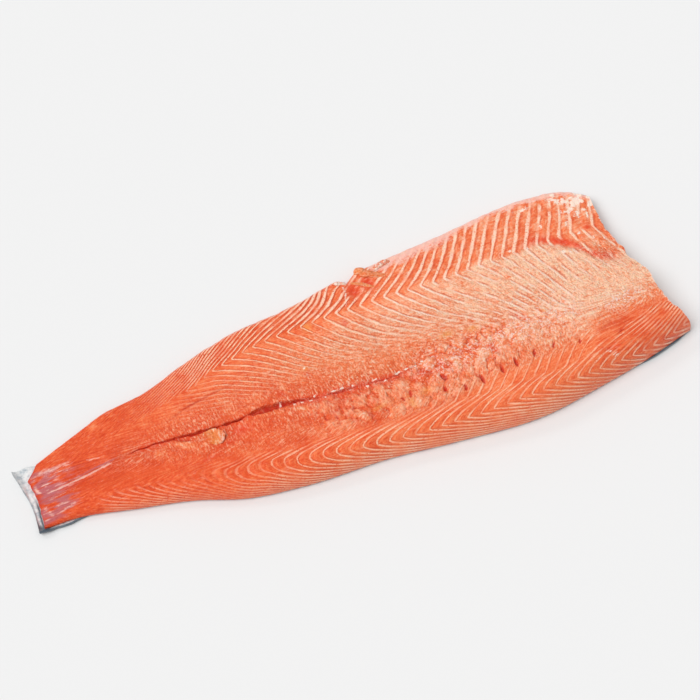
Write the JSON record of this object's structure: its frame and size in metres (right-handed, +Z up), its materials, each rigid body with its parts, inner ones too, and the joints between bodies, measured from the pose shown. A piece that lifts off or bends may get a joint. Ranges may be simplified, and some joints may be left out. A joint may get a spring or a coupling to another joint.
{
  "type": "raw salmon fillet",
  "caption": "Whole side of raw salmon, skin on: an orange fillet with white fat lines in chevrons, split along the middle, thin at the belly and tail, on a silvery skin.",
  "frame": {"origin": "below the middle of the fillet's box, on the surface it rests on", "axes": "+X from the tail to the head end, +Y to the belly side, +Z up from the skin to the cut face"},
  "size_m": [0.6018, 0.2126, 0.0318],
  "materials": {
    "flesh": "moist raw salmon muscle, orange with pale fat lines",
    "skin": "wet silver-grey fish skin with fine scales, darker along the back"
  },
  "bodies": {
    "root": {"flesh": "flesh", "skin": "skin"}
  },
  "joints": []
}
